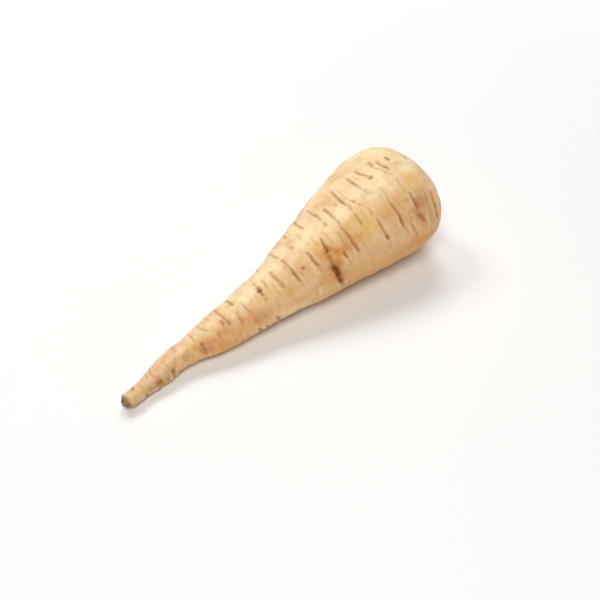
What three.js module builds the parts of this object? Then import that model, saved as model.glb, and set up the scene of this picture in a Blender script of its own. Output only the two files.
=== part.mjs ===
// Parsnip root, trimmed of its leaves and lying on its side.
// Millimetres, +Z up. +X runs from the root's tip to its crown.
// The origin is at the bottom centre of the root's bounding box, on the
// surface that the root lies on.
import * as THREE from 'three';
import { mergeVertices } from 'three/addons/utils/BufferGeometryUtils.js';

// ---- driving dimensions -------------------------------------------------
const ROOT_LENGTH = 198.51;  // tip face to crown rim, along the centreline's X
const TIP_X = -99.63;         // where the tip face's centre stands
const TIP_Y = -0.16;
const REST_SINK = 0.4;        // depth that the resting flats take off the curve

// Outer radius of the root against the fraction of ROOT_LENGTH: a blunt broken
// tip, a long slender tail, a swollen shoulder and a turned-in crown rim.
const RADIUS_AT = [0, 0.006, 0.02, 0.06, 0.12, 0.20, 0.29, 0.38, 0.47, 0.56,
  0.64, 0.72, 0.79, 0.855, 0.905, 0.945, 0.975, 0.993, 1];
const RADIUS = [2.45, 4.21, 4.07, 4.14, 5.74, 6.19, 9.43, 11.31, 13.38, 17.81,
  21.04, 24.63, 27.22, 29.11, 29.09, 27.42, 22.25, 17.33, 14.30];

// The centreline: sideways bend and height against the fraction of the length.
const BEND_AT = [0, 0.08, 0.18, 0.30, 0.44, 0.58, 0.72, 0.86, 1];
const BEND_Y = [0, 2.39, 4.30, 1.90, 0.24, -0.68, -0.42, 0, 1.05];
const BEND_Z = [5.26, 4.94, 7.29, 10.07, 14.44, 19.10, 23.83, 27.52, 29.50];

// Out-of-round of the section: it is this fraction wider than it is high, each
// way from the mean radius.
const OVAL_AT = [0, 0.35, 0.6, 0.78, 0.9, 1];
const OVAL = [0.0098, 0.0160, 0.0232, 0.0411, 0.0675, 0.0592];

// The crown: a ring groove between the shoulder and the disc of leaf-stalk
// scars. Each entry is [height past the rim, radius].
const CROWN = [[-0.25, 13.85], [-1.5, 13.6], [-2.6, 13.2], [-2.7, 12.8],
  [-1.7, 12.35], [-0.55, 11.9], [-0.15, 10.9], [0.05, 8.8], [0, 6.0],
  [-0.3, 3.3]];
const CROWN_CENTRE = -0.5;    // the shallow dimple in the middle of the disc

const GIRTH_SEGMENTS = 60;
const SIDE_RINGS = 56;

// ---- smooth interpolation ----------------------------------------------
function hermite(t, xs, ys) {
  const n = xs.length;
  t = Math.min(Math.max(t, xs[0]), xs[n - 1]);
  let i = 0;
  while (i < n - 2 && t >= xs[i + 1]) i++;
  const slope = (k) => (ys[k + 1] - ys[k]) / (xs[k + 1] - xs[k]);
  const tangent = (k) => {
    if (k === 0) return slope(0);
    if (k === n - 1) return slope(n - 2);
    const h0 = xs[k] - xs[k - 1], h1 = xs[k + 1] - xs[k];
    return (slope(k - 1) * h1 + slope(k) * h0) / (h0 + h1);
  };
  const h = xs[i + 1] - xs[i], s = (t - xs[i]) / h;
  const s2 = s * s, s3 = s2 * s;
  return (2 * s3 - 3 * s2 + 1) * ys[i] + (s3 - 2 * s2 + s) * h * tangent(i)
    + (3 * s2 - 2 * s3) * ys[i + 1] + (s3 - s2) * h * tangent(i + 1);
}

// ---- half profile: x is the radius, y is the distance from the tip -------
function sideProfile() {
  const chord = [0];
  for (let i = 1; i < RADIUS.length; i++) {
    chord.push(chord[i - 1] + Math.hypot(
      (RADIUS_AT[i] - RADIUS_AT[i - 1]) * ROOT_LENGTH, RADIUS[i] - RADIUS[i - 1]));
  }
  const along = RADIUS_AT.map((f) => f * ROOT_LENGTH);
  const total = chord[chord.length - 1];
  // rings stand closer together at the tip and over the shoulder
  const stops = [];
  for (let k = 0; k <= SIDE_RINGS; k++) stops.push((k / SIDE_RINGS) * total);
  stops.push(chord[1], chord[1] * 0.5, chord[2]);
  stops.sort((a, b) => a - b);
  const kept = stops.filter((s, k) => k === 0 || s - stops[k - 1] > 0.35);
  return kept.map((s) => new THREE.Vector2(hermite(s, chord, RADIUS), hermite(s, chord, along)));
}

const profile = [new THREE.Vector2(0, 0), new THREE.Vector2(1.4, 0), ...sideProfile()];
for (const [up, r] of CROWN) profile.push(new THREE.Vector2(r, ROOT_LENGTH + up));
profile.push(new THREE.Vector2(0, ROOT_LENGTH + CROWN_CENTRE));

// ---- the straight root, turned on a lathe, then bent --------------------
const centre = (a) => new THREE.Vector3(a, hermite(a / ROOT_LENGTH, BEND_AT, BEND_Y),
  hermite(a / ROOT_LENGTH, BEND_AT, BEND_Z));

function bend(straight) {
  const p = straight.getAttribute('position');
  const up = new THREE.Vector3(0, 0, 1);
  const step = 0.25;
  for (let i = 0; i < p.count; i++) {
    const a = p.getY(i);
    const r = Math.hypot(p.getX(i), p.getZ(i));
    const angle = Math.atan2(p.getX(i), p.getZ(i));
    const inner = Math.min(Math.max(a, step), ROOT_LENGTH - step);
    const t = centre(inner + step).sub(centre(inner - step)).normalize();
    const side = new THREE.Vector3().crossVectors(up, t).normalize();
    const rise = new THREE.Vector3().crossVectors(t, side);
    const f = a / ROOT_LENGTH;
    const oval = 1 + hermite(f, OVAL_AT, OVAL) * Math.cos(2 * angle);
    const q = centre(a)
      .addScaledVector(side, r * oval * Math.cos(angle))
      .addScaledVector(rise, r * oval * Math.sin(angle));
    p.setXYZ(i, q.x + TIP_X, q.y + TIP_Y, q.z);
  }
}

// The root is set down by REST_SINK and everything below the surface is
// flattened onto it: one resting flat under the shoulder, one under the tail.
function setDown(geometry) {
  const p = geometry.getAttribute('position');
  let low = Infinity;
  for (let i = 0; i < p.count; i++) low = Math.min(low, p.getZ(i));
  for (let i = 0; i < p.count; i++) p.setZ(i, Math.max(p.getZ(i) - low - REST_SINK, 0));
}

const lathed = new THREE.LatheGeometry(profile, GIRTH_SEGMENTS);
lathed.deleteAttribute('normal');
lathed.deleteAttribute('uv');
bend(lathed);
setDown(lathed);
const geometry = mergeVertices(lathed, 1e-4);
geometry.computeVertexNormals();

const root = new THREE.Mesh(geometry, new THREE.MeshStandardMaterial({
  color: 0xe6c491, roughness: 0.6, metalness: 0 }));
root.name = 'parsnip_root';

const parsnip = new THREE.Group();
parsnip.name = 'parsnip';
parsnip.add(root);

export default parsnip;
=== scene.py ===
import math

import bpy
import numpy as np
from mathutils import Matrix, Vector


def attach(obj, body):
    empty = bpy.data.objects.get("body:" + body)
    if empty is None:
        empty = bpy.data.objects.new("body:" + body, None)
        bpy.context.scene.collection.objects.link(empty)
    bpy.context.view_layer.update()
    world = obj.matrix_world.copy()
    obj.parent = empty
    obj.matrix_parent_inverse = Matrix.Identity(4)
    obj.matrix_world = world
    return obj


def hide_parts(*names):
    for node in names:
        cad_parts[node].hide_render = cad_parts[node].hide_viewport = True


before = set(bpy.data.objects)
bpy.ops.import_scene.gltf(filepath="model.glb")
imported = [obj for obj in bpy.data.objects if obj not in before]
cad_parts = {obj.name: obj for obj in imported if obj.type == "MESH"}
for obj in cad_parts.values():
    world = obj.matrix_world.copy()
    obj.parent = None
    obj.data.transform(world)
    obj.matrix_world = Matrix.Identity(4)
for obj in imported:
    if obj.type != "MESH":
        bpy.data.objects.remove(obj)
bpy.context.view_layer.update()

MM = 0.001

# =========================================================================
# 1. The root's own form. These numbers repeat the CAD model's, in millimetres.
# =========================================================================
ROOT_LENGTH = 198.51
TIP_X, TIP_Y = -99.63, -0.16
REST_SINK = 0.4
RADIUS_AT = [0, 0.006, 0.02, 0.06, 0.12, 0.20, 0.29, 0.38, 0.47, 0.56, 0.64,
             0.72, 0.79, 0.855, 0.905, 0.945, 0.975, 0.993, 1]
RADIUS = [2.45, 4.21, 4.07, 4.14, 5.74, 6.19, 9.43, 11.31, 13.38, 17.81,
          21.04, 24.63, 27.22, 29.11, 29.09, 27.42, 22.25, 17.33, 14.30]
BEND_AT = [0, 0.08, 0.18, 0.30, 0.44, 0.58, 0.72, 0.86, 1]
BEND_Y = [0, 2.39, 4.30, 1.90, 0.24, -0.68, -0.42, 0, 1.05]
BEND_Z = [5.26, 4.94, 7.29, 10.07, 14.44, 19.10, 23.83, 27.52, 29.50]
OVAL_AT = [0, 0.35, 0.6, 0.78, 0.9, 1]
OVAL = [0.0098, 0.0160, 0.0232, 0.0411, 0.0675, 0.0592]
# ring groove and disc of leaf-stalk scars: height past the rim, radius
CROWN = [(0.0, 14.30), (-0.25, 13.85), (-1.5, 13.6), (-2.6, 13.2), (-2.7, 12.8),
         (-1.7, 12.35), (-0.55, 11.9), (-0.15, 10.9), (0.05, 8.8), (0, 6.0),
         (-0.3, 3.3), (-0.5, 0.0)]

SEGMENTS = 128        # round the girth
TIP_RINGS = 12        # over the broken end
SIDE_RINGS = 630      # tip to crown rim
CROWN_RINGS = 102     # rim, groove and disc


def hermite(t, xs, ys):
    xs, ys = np.asarray(xs, float), np.asarray(ys, float)
    slope, h = np.diff(ys) / np.diff(xs), np.diff(xs)
    m = np.empty(len(xs))
    m[0], m[-1] = slope[0], slope[-1]
    m[1:-1] = (slope[:-1] * h[1:] + slope[1:] * h[:-1]) / (h[:-1] + h[1:])
    t = np.clip(t, xs[0], xs[-1])
    i = np.clip(np.searchsorted(xs, t, side="right") - 1, 0, len(xs) - 2)
    s = (t - xs[i]) / h[i]
    s2, s3 = s * s, s * s * s
    return ((2 * s3 - 3 * s2 + 1) * ys[i] + (s3 - 2 * s2 + s) * h[i] * m[i]
            + (3 * s2 - 2 * s3) * ys[i + 1] + (s3 - s2) * h[i] * m[i + 1])


def smoothstep(a, b, x):
    t = np.clip((x - a) / (b - a), 0, 1)
    return t * t * (3 - 2 * t)


def centre(a):
    f = a / ROOT_LENGTH
    return np.stack([a, hermite(f, BEND_AT, BEND_Y), hermite(f, BEND_AT, BEND_Z)], -1)


def unit(v):
    return v / np.maximum(np.linalg.norm(v, axis=-1, keepdims=True), 1e-12)


def on_root(a, r, theta):
    """The point of the smooth root at distance a from the tip face, radius r and
    angle theta, each an array of the same shape. 0 is the +Y side, 90 degrees the top."""
    inner = np.clip(a, 0.25, ROOT_LENGTH - 0.25)
    t = unit(centre(inner + 0.25) - centre(inner - 0.25))
    side = unit(np.cross(np.array([0.0, 0.0, 1.0]), t))
    rise = np.cross(t, side)
    r = r * (1 + hermite(a / ROOT_LENGTH, OVAL_AT, OVAL) * np.cos(2 * theta))
    p = centre(a) + (r * np.cos(theta))[..., None] * side + (r * np.sin(theta))[..., None] * rise
    return p + np.array([TIP_X, TIP_Y, 0.0])


class Noise:
    """Seeded gradient noise, about -1 to 1."""

    def __init__(self, seed):
        g = np.random.RandomState(seed)
        self.order = g.permutation(256)
        v = g.normal(size=(256, 3))
        self.lean = v / np.linalg.norm(v, axis=1, keepdims=True)

    def __call__(self, x, y, z):
        x, y, z = np.broadcast_arrays(x, y, z)
        xi, yi, zi = (np.floor(q).astype(int) for q in (x, y, z))
        fx, fy, fz = x - xi, y - yi, z - zi
        ease = [q * q * q * (q * (q * 6 - 15) + 10) for q in (fx, fy, fz)]
        total = np.zeros(x.shape)
        for dx in (0, 1):
            for dy in (0, 1):
                for dz in (0, 1):
                    k = self.order[(xi + dx) & 255]
                    k = self.order[(k + yi + dy) & 255]
                    g = self.lean[self.order[(k + zi + dz) & 255]]
                    w = ((ease[0] if dx else 1 - ease[0]) * (ease[1] if dy else 1 - ease[1])
                         * (ease[2] if dz else 1 - ease[2]))
                    total += w * (g[..., 0] * (fx - dx) + g[..., 1] * (fy - dy)
                                  + g[..., 2] * (fz - dz))
        return total * 1.6


# ---- rings: one profile from the tip's middle to the crown's middle -----------
along = np.array(RADIUS_AT) * ROOT_LENGTH
chord = np.concatenate([[0], np.cumsum(np.hypot(np.diff(along), np.diff(RADIUS)))])
SIDE_LENGTH = chord[-1]

# rings stand closer together at the tip and over the shoulder
u = np.linspace(0, 1, SIDE_RINGS)
density = 1 + 0.9 * np.exp(-(u / 0.03) ** 2) + 0.35 * smoothstep(0.9, 1, u)
steps = np.concatenate([[0], np.cumsum((density[1:] + density[:-1]) / 2)])
side_s = np.interp(np.linspace(0, 1, SIDE_RINGS), steps / steps[-1], u) * SIDE_LENGTH

crown_up, crown_r = np.array(CROWN).T
crown_chord = np.concatenate([[0], np.cumsum(np.hypot(np.diff(crown_up), np.diff(crown_r)))])
crown_s = np.linspace(0, crown_chord[-1], CROWN_RINGS + 2)[1:-1]

ring_a = np.concatenate([
    np.zeros(TIP_RINGS), hermite(side_s, chord, along),
    ROOT_LENGTH + np.interp(crown_s, crown_chord, crown_up)])
ring_r = np.concatenate([
    np.linspace(0, RADIUS[0], TIP_RINGS + 2)[1:-1], hermite(side_s, chord, RADIUS),
    np.interp(crown_s, crown_chord, crown_r)])
# s runs over the skin: negative on the broken end, past SIDE_LENGTH on the crown
ring_s = np.concatenate([
    np.linspace(0, RADIUS[0], TIP_RINGS + 2)[1:-1] - RADIUS[0], side_s, SIDE_LENGTH + crown_s])
RINGS = len(ring_s)
first_crown = TIP_RINGS + SIDE_RINGS

theta = np.linspace(0, 2 * math.pi, SEGMENTS, endpoint=False)
S = np.repeat(ring_s[:, None], SEGMENTS, 1)
A = np.repeat(ring_a[:, None], SEGMENTS, 1)
R = np.repeat(ring_r[:, None], SEGMENTS, 1)
T = np.repeat(theta[None, :], RINGS, 0)
DEG = np.degrees(T)
GY, GZ = R * np.cos(T), R * np.sin(T)
is_side = smoothstep(1.0, 3.5, S) * (1 - smoothstep(SIDE_LENGTH - 2.5, SIDE_LENGTH - 0.3, S))

# =========================================================================
# 2. Relief on the skin. Heights are in millimetres, outwards.
#    Marks are laid at (s, angle): s is the distance over the skin from
#    the tip, in mm, and the angle runs from the +Y side over the top.
#    Hue letters: b brown, o olive, r reddish, d dark brown, t tan, m mauve,
#    g grey, y yellow, w cream, p pink.
# =========================================================================
# hue, half-width mm, depth mm, darkness, course
CREASES = (
    ('d', 0.44, 0.30, 0.72, ((183.7, 82), (183.5, 86), (183.3, 91))),
    ('o', 0.25, 0.18, 0.60, ((176.0, 74), (175.1, 81), (174.3, 87))),
    ('o', 0.24, 0.18, 0.55, ((178.7, 81), (177.9, 88), (177.5, 95))),
    ('b', 0.30, 0.19, 0.70, ((177.8, 94), (177.9, 98), (178.3, 102))),
    ('b', 0.24, 0.11, 0.25, ((174.0, 88), (175.1, 94), (176.0, 101), (177.0, 109))),
    ('o', 0.34, 0.26, 0.64, ((167.9, 72), (166.9, 82), (167.8, 89), (168.0, 93), (168.2, 98))),
    ('o', 0.48, 0.18, 0.66, ((168.0, 92), (168.0, 95), (168.3, 98))),
    ('o', 0.28, 0.22, 0.62, ((161.8, 72), (160.9, 80), (160.6, 86), (160.5, 92), (160.2, 99))),
    ('b', 0.30, 0.31, 0.70, ((151.6, 66), (150.4, 76), (149.3, 85), (148.6, 92), (148.7, 100))),
    ('b', 0.39, 0.17, 0.45, ((152.0, 98), (152.5, 102), (152.8, 106))),
    ('b', 0.34, 0.14, 0.35, ((152.9, 107), (153.4, 110), (153.8, 114))),
    ('m', 0.24, 0.14, 0.35, ((149.7, 98), (149.1, 105), (148.4, 112))),
    ('t', 0.24, 0.14, 0.35, ((148.4, 112), (148.0, 120), (147.4, 128))),
    ('t', 0.48, 0.19, 0.70, ((147.3, 125), (147.4, 127), (147.4, 130))),
    ('o', 0.24, 0.09, 0.18, ((167.0, 111), (166.2, 121), (165.5, 128))),
    ('b', 0.30, 0.25, 0.52, ((165.5, 128), (165.5, 135), (165.7, 144), (165.4, 150), (165.3, 158))),
    ('m', 0.24, 0.14, 0.35, ((165.3, 158), (165.9, 163), (166.6, 168))),
    ('d', 0.39, 0.12, 0.38, ((165.4, 150), (165.4, 156), (165.4, 159))),
    ('o', 0.25, 0.25, 0.55, ((155.3, 135), (155.1, 142), (154.7, 149), (155.0, 156), (155.5, 163))),
    ('d', 0.44, 0.18, 0.75, ((155.0, 156), (155.3, 160), (155.5, 163))),
    ('b', 0.24, 0.11, 0.22, ((154.7, 166), (155.3, 172), (155.8, 178))),
    ('b', 0.44, 0.28, 0.46, ((176.8, 133), (176.4, 139), (176.1, 146), (175.8, 152))),
    ('o', 0.62, 0.17, 0.36, ((176.1, 141), (176.1, 147), (176.1, 151))),
    ('r', 0.57, 0.24, 0.70, ((175.2, 155), (176.0, 161), (177.1, 167))),
    ('m', 0.39, 0.26, 0.70, ((169.6, 160), (169.8, 165), (170.4, 171))),
    ('t', 0.34, 0.16, 0.45, ((170.4, 171), (170.9, 176), (171.8, 183))),
    ('o', 0.24, 0.14, 0.30, ((170.8, 148), (170.5, 154), (170.2, 159))),
    ('t', 0.44, 0.22, 0.52, ((187.8, 145), (186.8, 154), (186.3, 164), (186.0, 175))),
    ('d', 0.50, 0.16, 0.44, ((186.6, 158), (186.6, 162), (186.5, 166))),
    ('d', 0.50, 0.16, 0.46, ((186.5, 168), (186.8, 172), (186.4, 177))),
    ('m', 0.24, 0.14, 0.25, ((184.4, 141), (183.5, 148), (182.1, 154))),
    ('b', 0.24, 0.14, 0.25, ((182.1, 155), (181.7, 162), (180.8, 170))),
    ('o', 0.24, 0.11, 0.25, ((183.3, 96), (183.5, 100), (183.9, 104))),
    ('b', 0.24, 0.12, 0.25, ((176.9, 113), (176.2, 118), (175.2, 122))),
    ('b', 0.24, 0.11, 0.20, ((172.8, 113), (172.2, 118))),
    ('b', 0.24, 0.12, 0.25, ((155.1, 120), (155.0, 126), (154.6, 130))),
    ('o', 0.30, 0.08, 0.22, ((174.9, 100), (174.9, 104))),
    ('b', 0.39, 0.13, 0.50, ((170.8, 35), (171.9, 40))),
    ('o', 0.57, 0.16, 0.30, ((192.8, 94), (191.1, 103))),
    ('b', 0.25, 0.14, 0.35, ((193.9, 112), (192.8, 121), (191.7, 130))),
    ('o', 0.24, 0.11, 0.20, ((161.0, 99), (160.7, 106), (161.3, 112))),
    ('m', 0.24, 0.11, 0.20, ((145.5, 86), (145.0, 92))),
    ('o', 0.25, 0.25, 0.44, ((137.2, 52), (136.0, 68), (135.5, 81), (134.7, 92), (134.0, 104))),
    ('o', 0.30, 0.31, 0.48, ((140.8, 79), (140.3, 88), (139.9, 97), (139.6, 106), (138.6, 115))),
    ('b', 0.39, 0.13, 0.40, ((140.7, 80), (140.3, 87), (140.0, 92))),
    ('b', 0.30, 0.23, 0.50, ((138.6, 115), (138.6, 124), (138.7, 132), (138.5, 138))),
    ('m', 0.53, 0.36, 0.68, ((138.2, 136), (138.5, 142), (138.7, 148), (138.7, 156))),
    ('t', 0.39, 0.22, 0.50, ((131.4, 29), (127.5, 59), (126.5, 77))),
    ('t', 0.48, 0.19, 0.40, ((121.5, 31), (117.9, 60))),
    ('d', 0.34, 0.29, 0.75, ((127.8, 108), (126.7, 117), (126.0, 124), (125.3, 132))),
    ('r', 0.62, 0.17, 0.60, ((126.3, 120), (126.1, 126), (126.1, 132))),
    ('o', 0.44, 0.23, 0.45, ((125.3, 132), (124.9, 140), (124.4, 150))),
    ('d', 0.66, 0.59, 1.00, ((124.0, 149), (124.1, 160), (124.4, 173), (126.3, 194))),
    ('r', 1.03, 0.39, 0.80, ((124.1, 153), (124.6, 161), (124.9, 171))),
    ('o', 0.44, 0.32, 0.80, ((132.1, 142), (131.9, 148), (132.3, 154))),
    ('o', 0.24, 0.11, 0.20, ((132.3, 154), (132.6, 161), (132.9, 168))),
    ('b', 0.32, 0.24, 0.42, ((117.4, 108), (117.6, 118), (117.5, 128), (117.7, 140))),
    ('r', 0.46, 0.12, 0.34, ((117.2, 121), (117.4, 129), (117.6, 137))),
    ('b', 0.48, 0.19, 0.55, ((110.8, 122), (111.4, 130))),
    ('o', 0.25, 0.25, 0.55, ((106.5, 85), (106.3, 98), (106.0, 110))),
    ('o', 0.44, 0.36, 0.80, ((106.0, 110), (106.0, 121), (106.0, 129), (106.2, 142))),
    ('o', 0.24, 0.14, 0.22, ((109.0, 30), (106.5, 59), (106.4, 84))),
    ('m', 0.64, 0.18, 0.32, ((98.5, 84), (97.7, 101), (97.7, 118), (98.2, 135))),
    ('o', 0.42, 0.34, 0.54, ((88.0, 92), (87.5, 108), (87.3, 124))),
    ('o', 0.80, 0.34, 0.86, ((87.6, 99), (87.3, 111))),
    ('d', 0.44, 0.18, 0.45, ((87.6, 101), (87.3, 109))),
    ('t', 0.30, 0.15, 0.40, ((87.3, 126), (87.5, 134))),
    ('o', 0.24, 0.14, 0.20, ((104.7, 99), (104.5, 110), (103.9, 121))),
    ('b', 0.24, 0.11, 0.20, ((106.5, 142), (106.5, 152))),
    ('m', 0.24, 0.14, 0.25, ((88.4, 74), (88.0, 91))),
    ('b', 0.24, 0.11, 0.15, ((124.6, 92), (124.5, 102), (124.0, 114))),
    ('b', 0.24, 0.11, 0.15, ((135.2, 116), (135.1, 126), (134.4, 137))),
    ('r', 0.44, 0.00, 0.25, ((130.1, 136), (132.1, 141))),
    ('b', 0.24, 0.11, 0.20, ((115.0, 80), (113.8, 89))),
    ('b', 0.24, 0.21, 0.40, ((65.5, 37), (64.9, 74), (65.0, 96), (65.3, 112))),
    ('o', 0.34, 0.29, 0.75, ((65.1, 110), (65.4, 121), (65.4, 133))),
    ('b', 0.30, 0.19, 0.50, ((62.8, 100), (62.9, 112), (62.9, 124))),
    ('g', 0.24, 0.14, 0.25, ((53.4, 54), (53.1, 86), (55.0, 109))),
    ('o', 0.25, 0.11, 0.22, ((58.0, 127), (58.4, 137), (58.7, 148))),
    ('r', 0.44, 0.32, 0.70, ((49.5, 125), (49.2, 143), (49.2, 162), (49.5, 186))),
    ('b', 0.24, 0.11, 0.22, ((57.3, 161), (57.4, 178))),
    ('b', 0.34, 0.25, 0.55, ((73.2, 50), (73.1, 73), (72.9, 92))),
    ('d', 0.48, 0.34, 0.55, ((77.6, 186), (80.1, 216))),
    ('d', 0.48, 0.34, 0.48, ((88.4, 185), (91.2, 216))),
    ('b', 0.25, 0.18, 0.35, ((82.1, 189), (83.6, 216))),
    ('b', 0.25, 0.18, 0.40, ((38.0, 36), (36.5, 84), (36.5, 105))),
    ('b', 0.24, 0.14, 0.20, ((47.8, 37), (46.9, 86), (46.9, 114))),
    ('b', 0.24, 0.14, 0.18, ((76.7, 96), (76.8, 119), (77.1, 138))),
    ('b', 0.24, 0.14, 0.15, ((71.8, 111), (71.5, 130), (71.1, 148))),
    ('d', 0.80, 0.45, 0.62, ((29.0, 148), (29.2, 179), (29.3, 212))),
    ('b', 1.10, 0.36, 0.58, ((20.6, 145), (21.0, 174), (22.0, 216))),
    ('r', 0.62, 0.11, 0.42, ((18.8, 136), (18.4, 169))),
    ('d', 0.44, 0.28, 0.60, ((11.2, 172), (12.5, 215))),
    ('b', 0.44, 0.18, 0.45, ((8.2, 37), (7.0, 98))),
    ('o', 0.30, 0.19, 0.50, ((24.2, 156), (25.8, 211))),
    ('r', 0.24, 0.14, 0.25, ((20.8, 59), (19.5, 100), (19.1, 126))),
    ('b', 0.24, 0.14, 0.35, ((18.2, 54), (16.8, 97))),
)
BLOTCHES = (
    ('m', 178.8, 146, 4.3, 4.6, 0.62),
    ('t', 179, 152, 4.3, 4.5, 0.30),
    ('t', 181, 200, 5.4, 2.5, 0.70),
    ('t', 166, 184, 4.9, 3.0, 0.55),
    ('r', 187, 191, 3.2, 4.0, 0.40),
    ('y', 149, 140, 4.9, 3.5, 0.60),
    ('y', 143, 139, 4.9, 3.0, 0.35),
    ('y', 181, 123, 4.9, 3.0, 0.50),
    ('y', 176, 58, 3.8, 2.0, 0.50),
    ('o', 185, 102, 3.2, 2.5, 0.25),
    ('t', 139, 120, 4.4, 3.0, 0.26),
    ('t', 136, 139, 4.3, 2.5, 0.45),
    ('t', 125, 127, 4.3, 2.5, 0.75),
    ('t', 129.4, 138, 4.9, 3.0, 0.70),
    ('t', 123, 152, 3.2, 3.5, 0.55),
    ('t', 161, 138, 5.0, 4.0, 0.30),
    ('t', 167, 135, 3.2, 4.0, 0.35),
    ('g', 129, 164, 4.3, 4.0, 0.30),
    ('g', 141, 160, 5.9, 4.0, 0.40),
    ('g', 153, 169, 4.9, 3.5, 0.35),
    ('g', 164, 168, 4.9, 4.5, 0.30),
    ('w', 164, 95, 7.6, 4.0, 0.50),
    ('w', 144, 101, 5.4, 4.0, 0.50),
    ('w', 126, 93, 5.9, 4.0, 0.50),
    ('w', 133, 96, 3.8, 3.0, 0.40),
    ('w', 102, 78, 4.3, 3.0, 0.35),
    ('w', 83, 86, 4.9, 3.0, 0.50),
    ('w', 94, 75, 4.3, 3.5, 0.50),
    ('p', 109, 94, 3.8, 2.5, 0.45),
    ('y', 159, 48, 3.2, 4.0, 0.30),
    ('t', 140, 71, 3.2, 3.0, 0.25),
    ('t', 134, 50, 2.2, 2.5, 0.15),
    ('y', 121, 108, 2.7, 3.0, 0.50),
    ('t', 100, 145, 3.2, 2.5, 0.30),
    ('t', 77, 150, 5.9, 2.5, 0.42),
    ('t', 72, 139, 3.2, 2.5, 0.40),
    ('t', 55, 147, 4.9, 2.5, 0.50),
    ('t', 47, 142, 3.2, 2.5, 0.40),
    ('t', 52, 131, 3.2, 2.0, 0.30),
    ('y', 43, 130, 4.3, 3.0, 0.40),
    ('y', 35, 123, 4.3, 2.0, 0.30),
    ('p', 33, 90, 3.4, 1.7, 0.38),
    ('p', 22, 95, 3.0, 2.2, 0.54),
    ('p', 40, 71, 3.0, 2.2, 0.38),
    ('y', 27, 88, 3.2, 2.0, 0.40),
    ('o', 14, 161, 3.8, 1.5, 0.50),
    ('y', 9, 128, 3.2, 2.0, 0.50),
    ('t', 28, 144, 3.2, 1.5, 0.50),
    ('g', 114, 166, 6.5, 3.5, 0.30),
    ('t', 102, 174, 6.5, 2.5, 0.35),
    ('t', 119, 168, 3.2, 3.0, 0.35),
    ('g', 64, 142, 4.9, 3.0, 0.25),
    ('p', 67, 84, 3.2, 2.0, 0.35),
    ('y', 74, 82, 2.7, 2.0, 0.30),
    ('w', 167, 108, 5.5, 5.0, 0.60),
    ('w', 144, 108, 4.0, 3.0, 0.45),
    ('r', 176, 161, 2.6, 3.2, 0.60),
    ('m', 182, 170, 4.3, 4.4, 0.26),
    ('p', 188, 150, 5.0, 5.0, 0.34),
    ('t', 177, 187, 5.0, 3.0, 0.55),
    ('t', 125, 147, 3.0, 3.0, 0.42),
    ('r', 123, 154, 2.2, 2.8, 0.44),
    ('r', 125.0, 164, 2.8, 4.0, 0.70),
    ('m', 50, 163, 3.0, 2.6, 0.60),
    ('m', 80, 163, 5.0, 2.8, 0.50),
    ('t', 62, 134, 4.0, 3.0, 0.45),
    ('m', 20.3, 157, 3.8, 2.6, 0.62),
    ('p', 17.7, 166, 2.0, 1.7, 0.90),
    ('o', 4.4, 184, 2.6, 2.0, 0.45),
    ('o', 8.6, 60, 2.6, 2.2, 0.32),
    ('o', 22, 180, 2.6, 2.2, 0.55),
    ('m', 38, 147, 3.5, 2.4, 0.35),
    ('w', 136, 46, 6.5, 6.0, 0.78),
    ('w', 135.6, 93, 4.2, 5.4, 0.58),
    ('w', 171, 78, 7.0, 5.0, 0.32),
    ('w', 160, 43, 5.0, 5.0, 0.20),
    ('w', 160, 118, 4.4, 3.4, 0.28),
    ('w', 173, 119, 3.6, 3.4, 0.30),
    ('t', 110, 125, 5.2, 4.2, 0.34),
    ('t', 127.5, 174, 3.5, 3.0, 0.42),
    ('t', 120, 158, 3.4, 7.0, 0.34),
    ('y', 125, 117, 3.4, 3.2, 0.34),
    ('y', 88, 119, 4.4, 3.0, 0.26),
    ('t', 168, 156, 3.6, 3.4, 0.24),
    ('t', 60, 60, 6.0, 3.0, 0.36),
    ('w', 122.3, 92, 4.0, 4.4, 0.46),
    ('t', 54.4, 173, 5.4, 2.6, 0.36),
    ('t', 67.7, 158, 5.0, 3.0, 0.30),
    ('w', 191, 145, 3.6, 4.6, 0.36),
    ('t', 164, 63, 4.4, 3.4, 0.22),
    ('w', 108.5, 90, 3.4, 3.6, 0.40),
    ('y', 150, 128, 4.2, 3.6, 0.42),
    ('t', 101.2, 108, 3.2, 2.6, 0.30),
    ('y', 70.3, 100, 3.6, 2.6, 0.36),
    # painted shadow on the tail's upper flank
    ('t', 36, 62, 6.5, 3.0, 0.24),
    ('t', 167, 50, 7.0, 4.0, 0.14),
    ('w', 185, 66, 5.0, 5.4, 0.42),
    ('w', 124, 50, 4.2, 4.0, 0.38),
    ('w', 143, 46, 4.2, 3.6, 0.32),
    ('t', 170, 182, 4.6, 4.0, 0.34),
    # painted shadow and warm reflected light low on the flank
    ('t', 62, 183, 6.4, 2.6, 0.42),
    ('y', 128, 148, 2.6, 3.0, 0.46),
    ('t', 139, 142, 4.0, 3.2, 0.26),
    ('w', 170, 115, 3.4, 3.4, 0.30),
    ('y', 138, 127, 3.0, 3.0, 0.28),
    ('w', 121, 107, 2.6, 3.0, 0.30),
    ('w', 97, 195, 9.0, 3.2, 0.46),
)

relief = np.zeros_like(S)
ink = {k: np.zeros_like(S) for k in "bordtm"}
stain = {k: np.zeros_like(S) for k in "tygpworm"}
wobble = Noise(5)
ring_order = np.arange(RINGS)


def over(field, add):
    """Lays one mask over another, both 0 to 1."""
    return 1 - (1 - field) * (1 - np.clip(add, 0, 1))


def radius_near(s):
    return float(np.interp(s, ring_s, ring_r))


SMEAR = {"o": "o", "g": "o", "b": "m", "m": "m", "d": "r", "r": "r", "t": "t"}


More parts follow.
